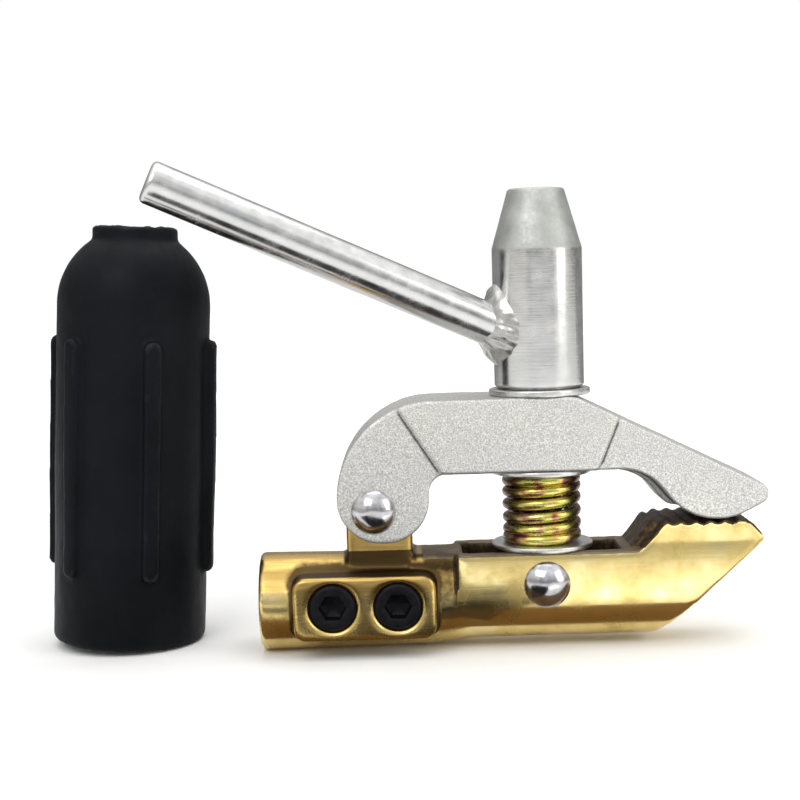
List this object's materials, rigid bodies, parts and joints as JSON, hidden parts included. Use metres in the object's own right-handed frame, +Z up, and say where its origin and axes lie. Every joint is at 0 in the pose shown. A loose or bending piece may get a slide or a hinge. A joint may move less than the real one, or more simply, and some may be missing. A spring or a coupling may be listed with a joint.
{
  "type": "welding ground clamp",
  "caption": "Screw-down welding ground clamp: brass body with cable socket and serrated jaw, hinged steel jaw, spring, tee nut with tommy bar, and a loose ribbed rubber handle sleeve.",
  "frame": {"origin": "centre of the cable socket's mouth, on the socket's axis", "axes": "+X along the socket towards the jaw tips, +Z up along the clamping bolt, -Y towards the side with the set screws"},
  "size_m": [0.1975, 0.0634, 0.1313],
  "materials": {
    "cast_brass": "belt-polished, with dark unpolished casting skin in the recesses",
    "plated_casting": "grainy zinc-plated steel casting",
    "bright_zinc": "bright zinc plating with fine turning marks",
    "zinc_washer": "satin zinc plating",
    "zinc_thread": "zinc-plated thread",
    "yellow_zinc_wire": "iridescent yellow chromate over zinc",
    "polished_rivet": "polished dome",
    "weld_metal": "plated weld bead",
    "black_oxide": "black oxide",
    "black_rubber": "matt moulded rubber"
  },
  "bodies": {
    "body": {"brass_body": "cast_brass", "pivot_rivet": "polished_rivet", "bolt_rivet": "polished_rivet", "compression_spring": "yellow_zinc_wire"},
    "jaw": {"upper_jaw": "plated_casting", "upper_spring_washer": "zinc_washer"},
    "bolt": {"eye_bolt": "zinc_thread"},
    "nut_carriage": {"thrust_washer": "zinc_washer"},
    "tee": {"tee_nut": "bright_zinc", "tommy_bar": "bright_zinc", "weld_bead": "weld_metal"},
    "lower_washer": {"lower_spring_washer": "zinc_washer"},
    "rear_screw": {"set_screw_rear": "black_oxide"},
    "front_screw": {"set_screw_front": "black_oxide"},
    "sleeve": {"rubber_sleeve": "black_rubber"}
  },
  "joints": [
    {"name": "bolt_tilt", "type": "hinge", "parent": "body", "child": "bolt", "pos_m": [0.0768, 0, 0.0048], "axis": [0, -1, 0], "range_deg": [0, 6.74]},
    {"name": "screw_lift", "type": "slide", "parent": "bolt", "child": "nut_carriage", "axis": [0, 0, 1], "range_m": [0, 0.01758]},
    {"name": "screw_turn", "type": "hinge", "parent": "nut_carriage", "child": "tee", "pos_m": [0.0768, 0, 0.0564], "axis": [0, 0, 1], "range_deg": [0, 3240]},
    {"name": "jaw_hinge", "type": "hinge", "parent": "body", "child": "jaw", "pos_m": [0.0312, 0, 0.0254], "axis": [0, -1, 0], "range_deg": [0, 19.5], "deforming": ["compression_spring"]},
    {"name": "washer_shift", "type": "slide", "parent": "body", "child": "lower_washer", "axis": [-1, 0, 0], "range_m": [0, 0.00107]},
    {"name": "rear_screw_feed", "type": "slide", "parent": "body", "child": "rear_screw", "axis": [0, 1, 0], "range_m": [0, 0.0036]},
    {"name": "front_screw_feed", "type": "slide", "parent": "body", "child": "front_screw", "axis": [0, 1, 0], "range_m": [0, 0.0036]},
    {"name": "sleeve_slide", "type": "slide", "parent": "body", "child": "sleeve", "axis": [0, 1, 0], "range_m": [0, 0.06]}
  ],
  "couplings": [
    {"joint": "screw_lift", "follows": "screw_turn", "m_per_rad": 0.00031096},
    {"joint": "bolt_tilt", "follows": "screw_turn", "ratio": 0.0020809},
    {"joint": "jaw_hinge", "follows": "screw_turn", "ratio": 0.0060185},
    {"joint": "washer_shift", "follows": "screw_turn", "m_per_rad": 0.000018922}
  ]
}
